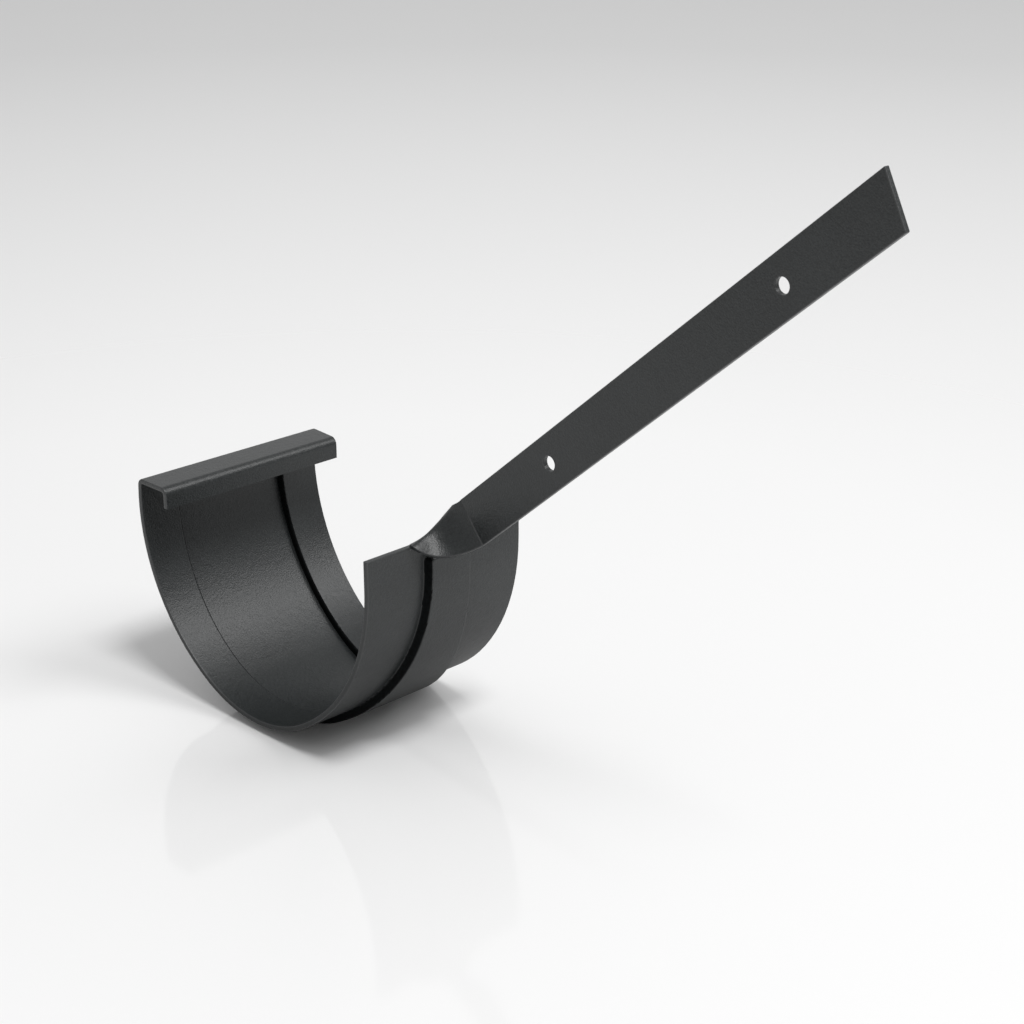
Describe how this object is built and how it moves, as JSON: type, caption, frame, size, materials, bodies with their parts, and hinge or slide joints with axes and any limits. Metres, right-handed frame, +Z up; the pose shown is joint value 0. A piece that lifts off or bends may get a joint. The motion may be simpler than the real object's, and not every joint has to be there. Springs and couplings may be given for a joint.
{
  "type": "gutter bracket",
  "caption": "Half-round gutter bracket pressed from one steel sheet: cradle with raised middle band, front hook, twisted strap and a sloping arm with screw holes.",
  "frame": {"origin": "on the gutter's centre line, in the middle plane of the fixing arm and of the cradle", "axes": "+X from the front hook towards the fixing arm and the roof, Y along the gutter, +Z up"},
  "size_m": [0.313, 0.0832, 0.2434],
  "materials": {
    "powder_coat": "satin powder coat, fine texture"
  },
  "bodies": {
    "root": {"gutter_bracket": "powder_coat"}
  },
  "joints": []
}
